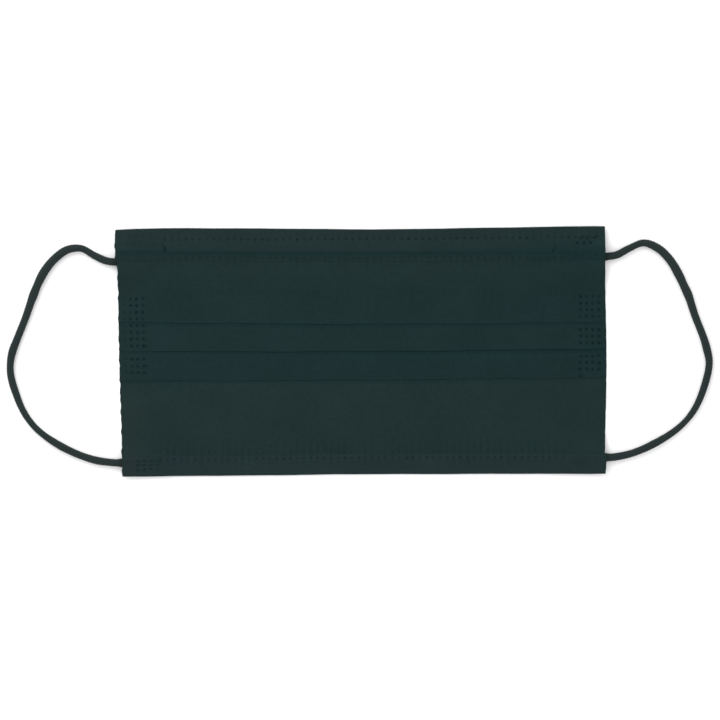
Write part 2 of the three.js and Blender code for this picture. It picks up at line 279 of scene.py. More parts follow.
def triangles_between(first, second, first_at, second_at):
    """Triangles between two rows of vertices, which stand at first_at and second_at along the rows."""
    if len(first) == len(second):
        a, b, c, d = first[:-1], first[1:], second[:-1], second[1:]
        return np.concatenate([np.stack([a, b, d], 1), np.stack([a, d, c], 1)])
    next_first = np.append(first_at[1:], np.inf)
    next_second = np.append(second_at[1:], np.inf)
    triangles = []
    i = j = 0
    for _ in range(len(first) + len(second) - 2):
        if next_first[i] <= next_second[j]:
            triangles.append((first[i], first[i + 1], second[j]))
            i += 1
        else:
            triangles.append((first[i], second[j + 1], second[j]))
            j += 1
    return np.array(triangles)


def make_mesh(name, points, faces, material):
    mesh = bpy.data.meshes.new(name)
    mesh.from_pydata((points * MM).tolist(), [], faces.tolist())
    mesh.shade_smooth()
    mesh.set_sharp_from_angle(angle=SHARP_ANGLE)
    mesh.materials.append(material)
    return new_object(name, mesh)


def set_uv(mesh, uv):
    layer = mesh.uv_layers.new(name="cloth")
    corners = np.zeros(len(mesh.loops), np.int32)
    mesh.loops.foreach_get("vertex_index", corners)
    layer.data.foreach_set("uv", uv[corners].astype(np.float32).ravel())


def set_attribute(mesh, name, values):
    attribute = mesh.attributes.new(name, "FLOAT", "POINT")
    attribute.data.foreach_set("value", values.astype(np.float32))


# -------- ear loops

FINE_STEPS = 40  # between two points of a route, before its rings are spaced evenly
RING_OF_PATH = 4  # rings from one point of a cord's path to the next
CORD_MARGIN = 0.02  # added to a cord's radius, and the least height of its surface


def curve_through(route):
    """The centripetal Catmull-Rom curve through a route: even points, and how far along it they are."""
    knots = np.array(route, float)
    before = 2 * knots[0] - knots[1]
    after = 2 * knots[-1] - knots[-2]
    knots = np.vstack([before, knots, after])
    shares = np.linspace(0, 1, FINE_STEPS, endpoint=False)[:, None]
    pieces = []
    for p0, p1, p2, p3 in zip(knots[:-3], knots[1:-2], knots[2:-1], knots[3:]):
        d0, d1, d2 = (math.sqrt(math.dist(a, b)) for a, b in ((p0, p1), (p1, p2), (p2, p3)))
        start = ((p1 - p0) / d0 - (p2 - p0) / (d0 + d1) + (p2 - p1) / d1) * d1
        end = ((p2 - p1) / d1 - (p3 - p1) / (d1 + d2) + (p3 - p2) / d2) * d1
        bend = -3 * p1 + 3 * p2 - 2 * start - end
        twist = 2 * p1 - 2 * p2 + start + end
        pieces.append(p1 + start * shares + bend * shares**2 + twist * shares**3)
    fine = np.vstack([*pieces, knots[-2]])
    passed = np.r_[0, np.cumsum(np.linalg.norm(np.diff(fine, axis=0), axis=1))]
    even = np.linspace(0, passed[-1], round(passed[-1] / RING_STEP) + 1)
    return np.stack([np.interp(even, passed, fine[:, k]) for k in (0, 1)], 1), even


LOOPS = {side: curve_through(route) for side, route in ROUTES.items()}


def knitted_surface(passed, from_end, flat, turn):
    """The radius at each point of a cord, and its look: 0 in a dip, painted as shade, or in a weld spot, 1
    on top of a stitch.
    """
    twist = passed / 55 + 0.5 * np.sin(passed / 17)
    wale = (turn + twist) * KNIT["wales"] / (2 * np.pi)
    lean = np.abs((wale % 1) - 0.5) * 2
    rib = KNIT["rib"] * np.cos(2 * np.pi * wale)
    loops = KNIT["loop"] * np.cos(2 * np.pi * (passed / KNIT["stitch"] + 0.55 * lean))
    uneven = KNIT["uneven"] * np.sin(passed / 3.1) * np.sin(passed / 7.3 + 1)
    relief = (rib + loops) * (1 - 0.7 * flat)

    spot_along = np.cos(2 * np.pi * from_end / CORD_SPOTS["pitch"])
    spot_across = np.cos(2 * np.pi * np.cos(turn) * WELDED_CORD["width"] / 2 / CORD_SPOTS["pitch"])
    welded = smooth(flat, 0.93, 1.0) * smooth(from_end, 0.4, 0.8)
    spots = welded * smooth(spot_along * spot_across, 0.1, 0.7) * smooth(np.abs(np.sin(turn)), 0.3, 0.6)
    sunk = CORD_SPOTS["depth"] / WELDED_CORD["height"] * spots
    look = ((rib + loops) / (KNIT["rib"] + KNIT["loop"]) * 0.5 + 0.5) * (1 - spots)
    return CORD / 2 + CORD_MARGIN + relief + uneven - sunk, look


def tube_triangles(rings, sides):
    """The wall of a tube, and its two caps, whose middles are the two vertices after the rings."""
    around = np.arange(sides)
    next_one = (around + 1) % sides
    ring = np.arange(rings - 1)[:, None] * sides
    a, b = ring + around, ring + next_one
    wall = np.stack([a, a + sides, b + sides, a, b + sides, b], -1).reshape(-1, 3)
    middle = np.full(sides, rings * sides)
    far = (rings - 1) * sides
    first_cap = np.stack([middle, around, next_one], 1)
    last_cap = np.stack([middle + 1, far + next_one, far + around], 1)
    return np.vstack([wall, first_cap, last_cap])


def ear_loop(side, material):
    """A round knitted elastic cord lying on the surface, its ends pressed flat by their welds."""
    line, passed = LOOPS[side]
    length = passed[-1]
    from_end = np.minimum(passed, length - passed)
    flat = clamp((FLATTENING["none"] - from_end) / (FLATTENING["none"] - FLATTENING["full"]))
    turn = np.linspace(0, 2 * np.pi, CORD_SIDES, endpoint=False)[None, :]
    radius, look = knitted_surface(passed[:, None], from_end[:, None], flat[:, None], turn)

    along = np.gradient(line, axis=0)
    along /= np.linalg.norm(along, axis=1)[:, None]
    sideways = np.stack([-along[:, 1], along[:, 0]], 1)
    swollen = np.interp(passed, *CORD_THICKNESS.T)
    wide = (1 + (WELDED_CORD["width"] / CORD - 1) * flat) * swollen
    tall = (1 + (WELDED_CORD["height"] / CORD - 1) * flat) * swollen
    out = np.cos(turn) * radius * wide[:, None]
    level = 0.35 * flat[:, None]  # the flattened ends have nearly level faces
    rise = np.sin(turn)
    rise = rise * (1 - level) + np.sign(rise) * np.abs(rise) ** 0.4 * level
    up = (CORD / 2 + rise * radius) * tall[:, None]
    x = line[:, :1] + sideways[:, :1] * out
    y = line[:, 1:] + sideways[:, 1:] * out
    points = np.stack([x, y, np.maximum(up, CORD_MARGIN)], 2).reshape(-1, 3)
    middles = [np.append(line[k], CORD / 2 * tall[k]) for k in (0, -1)]
    triangles = tube_triangles(len(line), CORD_SIDES)
    piece = make_mesh("cord_" + side, np.vstack([points, *middles]), triangles, material)

    u = np.repeat(passed, CORD_SIDES)
    v = np.tile(np.linspace(0, np.pi * CORD, CORD_SIDES, endpoint=False), len(line))
    set_uv(piece.data, np.vstack([np.stack([u, v], 1), [[0, 0], [length, 0]]]))
    # The look gives painted shade in the knit's dips and darker weld spots.
    set_attribute(piece.data, "relief", np.append(look.ravel(), [0.5, 0.5]))

    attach(piece, "root")
    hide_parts("ear_loop_" + side)
    rings = zip(line[::RING_OF_PATH], tall[::RING_OF_PATH])
    path = [(x * MM, y * MM, CORD / 2 * MM * t) for (x, y), t in rings]
    return piece


# -------- how the cloth lies

def ride_over(x, y):
    """How high the laminate rides over the hidden ends of the loops."""
    ride = np.zeros_like(x)
    hidden = slice(0, int(HIDDEN_LENGTH / RING_STEP), 3)
    for line, passed in LOOPS.values():
        heights = np.interp(passed[hidden], RIDE_FROM_END, RIDE_HEIGHTS)
        for points in (line[hidden], line[::-1][hidden]):
            low, high = points.min(0) - RIDE_REACH, points.max(0) + RIDE_REACH
            near = (x > low[0]) & (x < high[0]) & (y > low[1]) & (y < high[1])
            lift = np.zeros(near.sum())
            for (px, py), height in zip(points, heights):
                away = np.hypot(x[near] - px, y[near] - py) / RIDE_REACH
                lift = np.maximum(lift, height * np.cos(clamp(away) * np.pi / 2) ** 2)
            ride[near] += lift
    return ride


def pressed(x, y):
    """The share of its height that the stack of pleats keeps."""
    top = OUTER_FOLDS[0][2] + PLEAT_DEPTH
    bottom = OUTER_FOLDS[2][0]
    at_sides = sum(share * smooth(np.abs(x), *between) for share, *between in SIDE_PRESS)
    above = 1 - smooth(y, top, top + PRESS_FADE)
    below = smooth(y, bottom - PRESS_FADE, bottom)
    levels = [line[1] for line in OUTER_FOLDS]
    at_folds = np.interp(y, levels[::-1], FOLD_PRESS[::-1])
    return 1 - below * above * np.maximum(at_sides, at_folds)


def undulation(x, y):
    """Slow waves in the way the cloth lies, never below the surface."""
    long_wave = np.sin(x / 24 + 0.6) * np.cos(y / 17 - 0.4)
    cross_wave = np.sin(x / 15 - y / 21 + 2.1)
    short_wave = np.sin(x / 7.5 + 1.3 * np.sin(y / 9)) * 0.35
    return 0.1 * (2.35 + long_wave + cross_wave + short_wave) / 2


def wander(x, seed, size):
    """A small irregular wandering along x, for cut edges and folds."""
    long_wave = 0.55 * np.sin(x / 9.1 + seed)
    middle_wave = 0.33 * np.sin(x / 4.3 + 2.7 * seed)
    short_wave = 0.12 * np.sin(x / 1.9 + 1.9 * seed)
    return size * (long_wave + middle_wave + short_wave)


def settle(u, y, z):
    """Where a point of the flat-lying cloth ends up."""
    rough = sum(size * np.sin(2 * np.pi * y / length + length) for length, size in CUT_WAVES)
    rough = np.where(u < 0, rough, CLEAN_CUT * rough)
    x = across(u, y) + rough * smooth(np.abs(u), 0.95, 1.0)
    height = z * pressed(x, y) + ride_over(x, y) + undulation(x, y)
    return np.stack([x, y, height], 1)


# -------- weld marks and puckers

# A mark is x, y, half width, half height, depth and weld: how fused its cloth is, fully from 1 up. The
# cloth sinks and fuses between these two shares of the mark's half size.
MARK_RIM = (1.25, 0.55)
MARK_REACH = 1.3

TOP_DOTS = np.arange(-70, 86.5, 2.5)
BOTTOM_DOTS = np.arange(-74, 74, 2.45)
DOT = 0.95
SMALL_DOT = 0.8 * DOT
SIDE_DOT = {"size": 1.23, "depth": 0.08, "weld": 1.1}
FOLD_HIDES = 0.7  # how near to a fold it hides the marks

# x and y of the first mark, steps to the right and down, and how far a row moves to the right for each
# millimetre that it lies lower.
Grid = namedtuple("Grid", "x step columns y drop rows lean", defaults=[0.0])
LEFT_BLOCK = Grid(x=-84.8, step=2.2, columns=4, y=18.8, drop=2.42, rows=13, lean=0.022)
RIGHT_BLOCK = Grid(x=79.35, step=2.17, columns=4, y=19.65, drop=2.38, rows=13)
TOP_LEFT_PATCH = Grid(x=-82.9, step=1.3, columns=4, y=40.6, drop=1.2, rows=3)
TOP_RIGHT_PATCH = Grid(x=79.1, step=2.45, columns=3, y=40.6, drop=1.8, rows=2, lean=-0.72)
LOWER_LEFT_PATCH = Grid(x=-79.8, step=2.35, columns=4, y=-38.2, drop=1.45, rows=4)
LOWER_RIGHT_PATCH = Grid(x=77.2, step=1.6, columns=4, y=-38.1, drop=1.15, rows=3)


# How marks differ: by how much they shift, and the ranges of their strength and size.
ROW_CHANCE = (0.06, (0.65, 1.05), (0.88, 1.1))
BLOCK_CHANCE = (0.08, (0.6, 1.1), (0.85, 1.12))


def marks_at(places, size, depth, weld, chance):
    shift, strengths, sizes = chance
    places = places + RANDOM.normal(0, shift, places.shape)
    strength = RANDOM.uniform(*strengths, len(places))
    half = size / 2 * RANDOM.uniform(*sizes, places.shape)
    return np.column_stack([places, half, depth * strength, weld * strength])


def marks_in_row(xs, line, size, depth, weld):
    places = np.column_stack([xs, at(line, share_at(xs, line[1]))])
    return marks_at(places, size, depth, weld, ROW_CHANCE)


def marks_in_block(grid, size, depth, weld):
    xs = grid.x + grid.step * np.arange(grid.columns)
    ys = grid.y - grid.drop * np.arange(grid.rows)
    places = np.array([(x + grid.lean * (grid.y - y), y) for y in ys for x in xs])
    return marks_at(places, size, depth, weld, BLOCK_CHANCE)


def block_marks():
    """The spot welds of both sides, without those that a fold hides."""
    left = marks_in_block(LEFT_BLOCK, **SIDE_DOT)
    left[::LEFT_BLOCK.columns, 5] *= 0.4  # the column along the left side is the faintest
    marks = np.vstack([left, marks_in_block(RIGHT_BLOCK, **SIDE_DOT)])
    for line in OUTER_FOLDS:
        off_fold = marks[:, 1] - at(line, marks[:, 0] / HALF_WIDTH)
        marks = marks[np.abs(off_fold) > FOLD_HIDES]
    return marks


PANEL_MARKS = np.vstack([
    block_marks(),
    marks_in_row(BOTTOM_DOTS, BOTTOM_UPPER_WELD_LINE, SMALL_DOT, depth=0.1, weld=0.55),
])
TOP_MARKS = np.vstack([
    marks_in_row(TOP_DOTS, TOP_WELD_LINE, DOT, depth=0.15, weld=0.85),
    marks_in_row(TOP_DOTS, TOP_LOWER_WELD_LINE, SMALL_DOT, depth=0.1, weld=0.65),
    marks_in_block(TOP_LEFT_PATCH, size=0.8, depth=0.07, weld=0.4),
    marks_in_block(TOP_RIGHT_PATCH, size=1.2, depth=0.15, weld=1.3),
    # Upright ticks at the ends of the wire: small dents, darkened with painted shade through their weld
    # share.
    [[WIRE_LOW[0] - 0.1, 36.8, 0.42, 0.95, 0.06, 0.9], [WIRE_HIGH[0] - 0.1, 36.1, 0.42, 0.9, 0.06, 0.7]],
])
LOWER_LEFT_DASHES = marks_in_block(LOWER_LEFT_PATCH, size=0.75, depth=0.15, weld=0.9)
LOWER_LEFT_DASHES[:, 2] *= 2.1  # wider than high
BOTTOM_MARKS = np.vstack([
    LOWER_LEFT_DASHES,
    marks_in_block(LOWER_RIGHT_PATCH, size=0.7, depth=0.08, weld=0.3),
    marks_in_row(BOTTOM_DOTS, BOTTOM_WELD_LINE, DOT, depth=0.15, weld=0.7),
])


def press_in(x, y, marks):
    """Depth of the weld marks at each point, and how much a point is welded, from 0 to 1."""
    depth = np.zeros_like(x)
    weld = np.zeros_like(x)
    order = np.argsort(y, kind="stable")
    sorted_y = y[order]
    for mark_x, mark_y, half_x, half_y, deep, fused in marks:
        reach = half_y * MARK_REACH
        start, stop = np.searchsorted(sorted_y, (mark_y - reach, mark_y + reach))
        rows = order[start:stop]
        rows = rows[np.abs(x[rows] - mark_x) < half_x * MARK_REACH]
        away = np.hypot((x[rows] - mark_x) / half_x, (y[rows] - mark_y) / half_y)
        inside = smooth(away, *MARK_RIM)
        depth[rows] = np.maximum(depth[rows], inside * deep)
        weld[rows] = np.maximum(weld[rows], inside * min(fused, 1.0))
    return depth, weld


PUCKER_RISE = 0.11
PUCKER_END = 76.0  # the panel has none further from the middle


def puckers(x, y, dots, line, reach):
    """Little waves that run out of a row of weld dots into the cloth: their rise, and the share of a
    valley at each point."""
    from_row = (y - at(line, x / HALF_WIDTH)) * np.sign(reach)
    fade = smooth(from_row, -0.6, 0.8) * (1 - smooth(from_row, 1.2, abs(reach)))
    strength = 0.6 + 0.4 * np.sin(x / 6.1 + 1) * np.sin(x / 17.0)
    wave = (1 + np.cos(2 * np.pi * ((x - dots[0]) / (dots[1] - dots[0]) + 0.5))) / 2
    return PUCKER_RISE * fade * strength * wave, fade * strength * (1 - wave)


# -------- looks of the cloth

# Two numbers at each point of the cloth steer its colour. "weld" is how fused it is, from 0 to 1; it
# also carries painted shade below the crease under the wire, between puckers and at the wire's ends.
# "stack" is painted shade, 1 being that of closed pleats: above 1 it is darker still, and below 0 it
# is painted light, lighter than loose cloth.
CREASE_SHADE = 0.05  # painted shade, given as weld share, in the band below the crease under the wire
PUCKER_SHADE = 0.25  # painted shade, given as weld share, in the valleys between puckers

STRIP_SHADE = (1.0, 0.75, 0.7)  # painted shade of the closed pleats above each fold, from the lowest fold up
SLOPE_LOSS = 0.85  # share of this painted shade lost where the cloth leaves the pleats, towards the top hem
# Painted shade added just below each fold, from the lowest fold up, at its left end, middle and right end.
FOLD_SHADE = ((0.6, 0.5, 0.2), (0.0, 0.7, 1.5), (0.9, 1.1, 0.9))
# Painted shade on the top hem: above the crease under the wire, below it, and at the hem line, where it
# fades.
HEM_SHADE = {"above crease": 0.3, "below crease": 1.0, "hem line": 0.35}
RIGHT_SHADE = 0.35  # painted shade added towards the right end of the top hem and of the cloth above the pleats
LEFT_SHADE_KEPT = 0.4  # share of the painted shade that the left end of the pleats keeps
LEFT_PANEL_SHADE = -1.15  # painted light: shade below 0, added at the left end of the lower panel
LEFT_HEM_SHADE = -0.7  # painted light at the left end of the bottom hem

# Distances from the middle over which these ends come in.
LEFT_END = (72, 84)
RIGHT_HALF = (25, 80)
RIGHT_END = (66, 78)


# Painted shade and painted light on the laminate, by place.
def panel_shade(x, y):
    share = x / HALF_WIDTH
    stack = np.zeros(len(x))
    added = np.zeros(len(x))
    before = 0.0
    for line, look, painted_fold_shade in zip(OUTER_FOLDS[::-1], STRIP_SHADE, FOLD_SHADE):
        below = at(line, share) - y
        stack += (look - before) * smooth(-below, -0.3, 0.3)
        # Painted shade just below each fold.
        added += at(painted_fold_shade, share) * smooth(below, 0.0, 0.4) * (1 - smooth(below, 0.4, 2.0))
        before = look
    pleat_top = OUTER_FOLDS[0][1] + PLEAT_DEPTH
    stack *= 1 - SLOPE_LOSS * smooth(y, pleat_top - 2, pleat_top + 12)
    left = smooth(-x, *LEFT_END)
    stack *= 1 - (1 - LEFT_SHADE_KEPT) * left
    stack += RIGHT_SHADE * smooth(x, *RIGHT_HALF) * smooth(y, 8, 14)
    return np.minimum(stack, 1.0) + added + LEFT_PANEL_SHADE * left * smooth(-y, 10.5, 22)


# Painted shade and painted light on the top hem, by place.
def top_hem_shade(x, y):
    share = x / HALF_WIDTH
    below_dots = smooth(at(TOP_WELD_LINE, share) - y, -0.3, 0.8)
    under = at(CREASE_LINE, share) - y
    below_crease = smooth(under, -0.4, 0.6)
    right_end = smooth(x, *RIGHT_END)
    recovery = (HEM_SHADE["hem line"] - HEM_SHADE["below crease"]) * smooth(under, 0.8, 3.3)
    recovery *= 1 - 0.6 * right_end
    stack = HEM_SHADE["above crease"] * below_dots * (1 - below_crease)
    stack += (HEM_SHADE["below crease"] + recovery) * below_crease
    stack += RIGHT_SHADE * smooth(x, *RIGHT_HALF)
    return np.minimum(stack, 1 + RIGHT_SHADE * right_end)


# Painted light towards the left end of the bottom hem.
def bottom_hem_shade(x, y):
    return LEFT_HEM_SHADE * smooth(-x, *LEFT_END)


# -------- columns of vertices

COARSE = np.linspace(-1, 1, 116)
COLUMN_GAP = 0.004  # least distance from close columns to the coarse ones beside them
# Close columns at the weld blocks, the patches and the wire's right end: their x, at a level y.
LEFT_BLOCK_COLUMNS = (np.arange(-86.1, -77.4, 0.17), 4.0)
RIGHT_BLOCK_COLUMNS = (np.arange(78.7, 86.3, 0.17), 4.0)
TOP_PATCH_COLUMNS = (np.arange(-84.2, -69.4, 0.2), 39.0)
WIRE_END_COLUMNS = (np.arange(69.2, 71.0, 0.2), 37.0)
LOWER_PATCH_COLUMNS = (np.arange(-81.6, -72.2, 0.2), -40.0)
# Offsets of the columns round each dot.
DOT_OFFSETS = (-0.85, -0.5, -0.33, -0.16, 0, 0.16, 0.33, 0.5, 0.85, 1.2)
PUCKER_OFFSETS = (-0.85, -0.5, 0, 0.5, 0.85, 1.2)


def put_in(columns, xs, level, gap=COLUMN_GAP):
    """The columns, with close ones, which have these xs at this level, in place of those there."""
    close = share_at(xs, level)
    outside = (columns < close.min() - gap) | (columns > close.max() + gap)
    return np.concatenate([columns[outside], close])


def columns_for_dots(dots, level, offsets=DOT_OFFSETS):
    return put_in(COARSE, (dots[:, None] + offsets).ravel(), level)


def hem_columns(dots, overhang):
    """A hem's columns of both kinds, the first and the last moved out past the panel's sides."""
    columns = {"plain": COARSE.copy(), "dots": dots}
    for values in columns.values():
        values[values == -1] -= overhang[0] / HALF_WIDTH
        values[values == 1] += overhang[1] / HALF_WIDTH
    return columns


# -------- cloth lofted across the mask

class Rows:
    """The rows of vertices along a cloth's section. section holds y, z, the outer face's normal and the
    thickness at every column. how holds the kind of columns a row uses, whether marks show on it, and
    whether the inner face has it too."""

    def __init__(self, columns, thickness):
        self.columns = {kind: np.round(values, 6) for kind, values in columns.items()}
        self.u = np.unique(np.concatenate(list(self.columns.values())))
        self.thickness = thickness
        self.section, self.how = [], []

    def add(self, y, z, ny=0.0, nz=1.0, thick=None, kind="plain", seen=False, back=True):
        thick = self.thickness if thick is None else thick
        self.section.append([np.broadcast_to(value, self.u.shape) for value in (y, z, ny, nz, thick)])
        self.how.append((kind, seen, back))

    def level(self, first, last, count, z, back_every=1, **how):
        """count rows from the line first up to, but not onto, the line last."""
        for k, y in steps(first, last, count):
            self.add(y, z, back=k % back_every == 0, **how)

    def arc(self, y, z, radius, start, stop, side, count, **how):
        for k in range(count + 1):
            angle = np.radians(start + (stop - start) * k / count)
            cos, sin = np.cos(angle), np.sin(angle)
            self.add(y + radius * cos, z + radius * sin, side * cos, side * sin, **how)


def cloth(name, rows, relief, stack, material):
    """One sheet of cloth with two faces and closed edges. relief gives the height to add and the weld
    share where marks show, and stack the painted shade and painted light of each point."""
    u = rows.u
    section = np.array(rows.section).transpose(1, 0, 2)
    y, z = section[:2]
    kinds, shows, back = zip(*rows.how)
    lengths = np.hypot(np.diff(y, axis=0), np.diff(z, axis=0))
    passed = np.vstack([np.zeros_like(u), np.cumsum(lengths, axis=0)])
    picks = {kind: np.unique(np.searchsorted(u, values)) for kind, values in rows.columns.items()}

    # Round the section: each row's number, its columns, and 1 for the outer or -1 for the inner face.
    last = len(kinds) - 1
    chosen = [(j, picks[kind], 1) for j, kind in enumerate(kinds)]
    chosen += [(j, picks["plain"], -1) for j in range(last, -1, -1) if back[j] or j in (0, last)]

    row_of = np.concatenate([np.full(len(here), j) for j, here, _ in chosen])
    column_of = np.concatenate([here for _, here, _ in chosen])
    face_of = np.concatenate([np.full(len(here), face) for _, here, face in chosen])
    here_y, here_z, normal_y, normal_z, thick = section[:, row_of, column_of]
    half = thick / 2 * face_of
    points = settle(u[column_of], here_y + normal_y * half, here_z + normal_z * half)
    seen = np.array(shows)[row_of] & (face_of > 0)
    weld = np.zeros(len(points))
    rise, weld[seen] = relief(points[seen, 0], points[seen, 1])
    points[seen, 2] += np.where(normal_z[seen] < -0.5, np.maximum(-rise, 0), rise)

    starts = np.r_[0, np.cumsum([len(here) for _, here, _ in chosen])]
    ids = [np.arange(a, b) for a, b in zip(starts[:-1], starts[1:])]
    triangles = []
    for k, (_, here, _) in enumerate(chosen):
        following = (k + 1) % len(chosen)
        triangles.append(triangles_between(ids[k], ids[following], u[here], u[chosen[following][1]]))
    faces = (range(last + 1), range(len(chosen) - 1, last, -1))
    for end, order in ((0, -1), (-1, 1)):
        rims = [np.array([ids[k][end] for k in face]) for face in faces]
        places = [passed[[chosen[k][0] for k in face], end] for face in faces]
        triangles.append(triangles_between(*rims, *places)[:, ::order])

    piece = make_mesh(name, points, np.vstack(triangles)[:, ::-1], material)
    set_uv(piece.data, np.column_stack([points[:, 0], passed[row_of, column_of]]))
    set_attribute(piece.data, "weld", weld)
    # The painted shade and painted light of each point.
    set_attribute(piece.data, "stack", stack(points[:, 0], points[:, 1]))
    return piece


# -------- the pleated laminate

SLOPE_TOP = 29.5  # y where the laminate begins to climb onto the first pleat
BLOCK_TOP = 24.5  # y below which it has close columns at the side weld blocks
DOT_ROW_STEP = 0.21  # between the rows where weld dots are
STEP_SHARES = (0.17, 0.33, 0.5, 0.67, 0.83)  # of the rows along a straight step


def panel_top_rows(rows, landing):
    """Under the top hem, then free of it and up onto the first pleat, to the line landing."""
    freed = at(TOP_HEM_LINE, rows.u) + 1
    rows.level(at(TOP_EDGE, rows.u) - EDGE_GAP, freed, 7, TOP_LAMINATE_Z)
    rows.level(freed, SLOPE_TOP, 10, TOP_LAMINATE_Z, kind="top pucker", seen=True, back_every=2)
    count = 16
    for k, y in steps(SLOPE_TOP, landing, count):
        height = TOP_LAMINATE_Z + (HIGH - TOP_LAMINATE_Z) * smooth(k / count, 0.0, 1.0)
        rows.add(y, height, kind="block" if y.mean() < BLOCK_TOP else "plain", seen=True)


def pleat_rows(rows, landing, outer, inner):
    """Along the top strip to the outer fold, back to the inner fold and under both layers again."""
    count = int((landing.mean() - outer.mean()) / DOT_ROW_STEP)
    rows.level(landing, outer, count, HIGH, kind="block", seen=True, back_every=4)
    rows.arc(outer, OUTER_FOLD_Z, FOLD_RADIUS, 90, 180, 1, 6, seen=True)
    rows.arc(outer, OUTER_FOLD_Z, FOLD_RADIUS, 200, 270, 1, 4)
    rows.level(outer + 0.8, inner, 5, MID)
    rows.arc(inner, INNER_FOLD_Z, FOLD_RADIUS, 90, -90, -1, 8)
    rows.level(inner - 0.8, outer + 0.3, 4, LOW)


def step_rows(rows, outer, inner):
    """Out from under one outer fold, up and onto the next inner fold. Returns the line it lands on."""
    run = outer - inner
    drop = OUTER_FOLD_Z - INNER_FOLD_Z
    climb = np.arcsin(clamp(2 * STEP_RADIUS / np.hypot(run, drop))) - np.arctan2(drop, run)
    degrees = np.degrees(climb)
    rows.arc(outer, OUTER_FOLD_Z, STEP_RADIUS, 270, 270 - degrees, -1, 6, seen=True)
    sin, cos = np.sin(climb), np.cos(climb)
    foot = outer - STEP_RADIUS * sin, OUTER_FOLD_Z - STEP_RADIUS * cos
    head = inner + STEP_RADIUS * sin, INNER_FOLD_Z + STEP_RADIUS * cos
    for share in STEP_SHARES:
        y, z = (a + (b - a) * share for a, b in zip(foot, head))
        rows.add(y, z, sin, cos, kind="block", seen=True, back=False)
    rows.arc(inner, INNER_FOLD_Z, STEP_RADIUS, 90 - degrees, 90, 1, 6, kind="block", seen=True)
    return inner - 0.2


def panel_bottom_rows(rows, fold):
    """The lower panel, out from under the last fold and in under the bottom hem."""
    hem_line = at(BOTTOM_HEM_LINE, rows.u)
    start = fold - 0.4
    marked = start - 2.4
    rows.level(start, marked, 9, LOW, kind="block", seen=True, back_every=3)
    rows.level(marked, hem_line + 9.5, 22, LOW, seen=True, back_every=2)

    # Up onto the bottom hem's back leg.
    stretches = ((9.5, 1.9, 15, "pucker", 3), (1.9, -0.3, 13, "dots", 4))
    for above, below, count, kind, back_every in stretches:
        for k, y in steps(hem_line + above, hem_line + below, count):
            height = LOW + (BOTTOM_LAMINATE_Z - LOW) * smooth(hem_line + 6 - y, 0, 5)
            rows.add(y, height, kind=kind, seen=True, back=k % back_every == 0)
    bottom = at(BOTTOM_EDGE, rows.u) + EDGE_GAP
    rows.level(hem_line - 0.3, bottom, 6, BOTTOM_LAMINATE_Z)
    rows.add(bottom, BOTTOM_LAMINATE_Z)


def panel_relief(x, y):
    depth, weld = press_in(x, y, PANEL_MARKS)
    lower, lower_valley = puckers(x, y, BOTTOM_DOTS, BOTTOM_UPPER_WELD_LINE, 7.0)
    upper, upper_valley = puckers(x, y, TOP_DOTS, TOP_LOWER_WELD_LINE, -5.0)
    inside = np.abs(x) < PUCKER_END
    valley = (lower_valley + upper_valley) * inside
    # The valleys between puckers get painted shade as weld share.
    return (lower + upper) * inside - depth, np.maximum(weld, PUCKER_SHADE * valley)


def laminate(material):
    rows = Rows({
        "plain": COARSE,
        "block": put_in(put_in(COARSE, *LEFT_BLOCK_COLUMNS), *RIGHT_BLOCK_COLUMNS),
        "dots": columns_for_dots(BOTTOM_DOTS, BOTTOM_UPPER_WELD_LINE[1]),
        "pucker": columns_for_dots(BOTTOM_DOTS, -33.0, PUCKER_OFFSETS),
        "top pucker": columns_for_dots(TOP_DOTS, 31.0, PUCKER_OFFSETS),
    }, PLY)
    x = across(rows.u, 0.0)
    outer, inner = [], []
    for k, line in enumerate(OUTER_FOLDS):
        fold = at(line, rows.u)
        outer.append(fold + wander(x, 1.7 * k, WANDER["outer fold"]) + FOLD_REACH)
        inner.append(fold + PLEAT_DEPTH - FOLD_REACH + wander(x, k, WANDER["inner fold"]))
    landing = inner[0] + 2
    panel_top_rows(rows, landing)
    for k in range(3):
        pleat_rows(rows, landing, outer[k], inner[k])
        if k < 2:
            landing = step_rows(rows, outer[k], inner[k + 1])
    panel_bottom_rows(rows, outer[2])

    piece = cloth("mask_laminate", rows, panel_relief, panel_shade, material)
    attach(piece, "root")
    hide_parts("pleated_panel")
    return piece


# -------- hems

WELD_BAND = 0.6  # close rows reach this far above and below a weld line
FEW_ROWS = -42.9  # the bottom hem's front leg has few rows below this y
# Where the ridge over the wire drops and eases out: from and to, measured from the wire's lower side.
STEEP = (-0.9, 0.4)
EASING = (-3.2, 0.3)


def front_leg(rows, lines, counts, hem_line, height_at):
    """Rows of a hem's front leg between neighbouring lines. It thins out towards its cut edge."""
    for first, last, count in zip(lines[:-1], lines[1:], counts):
        for k, y in steps(first, last, count):
            thick = CUT_PLY + (HEM_PLY - CUT_PLY) * smooth(np.abs(y - hem_line), 0, THINNING)
            height = height_at(y) - (HEM_PLY - thick) / 2
            rows.add(y, height, thick=thick, kind="dots", seen=True, back=k % 2 == 0)


def back_leg(rows, first, weld_line, last, counts):
    """Rows of a hem's back leg, with close ones where its weld dots show."""
    start, stop = weld_line - WELD_BAND, weld_line + WELD_BAND
    rows.level(first, start, counts[0], BACK_Z, nz=-1.0)
    rows.level(start, stop, 7, BACK_Z, nz=-1.0, kind="dots", seen=True, back_every=7)
    rows.level(stop, last, counts[1], BACK_Z, nz=-1.0)


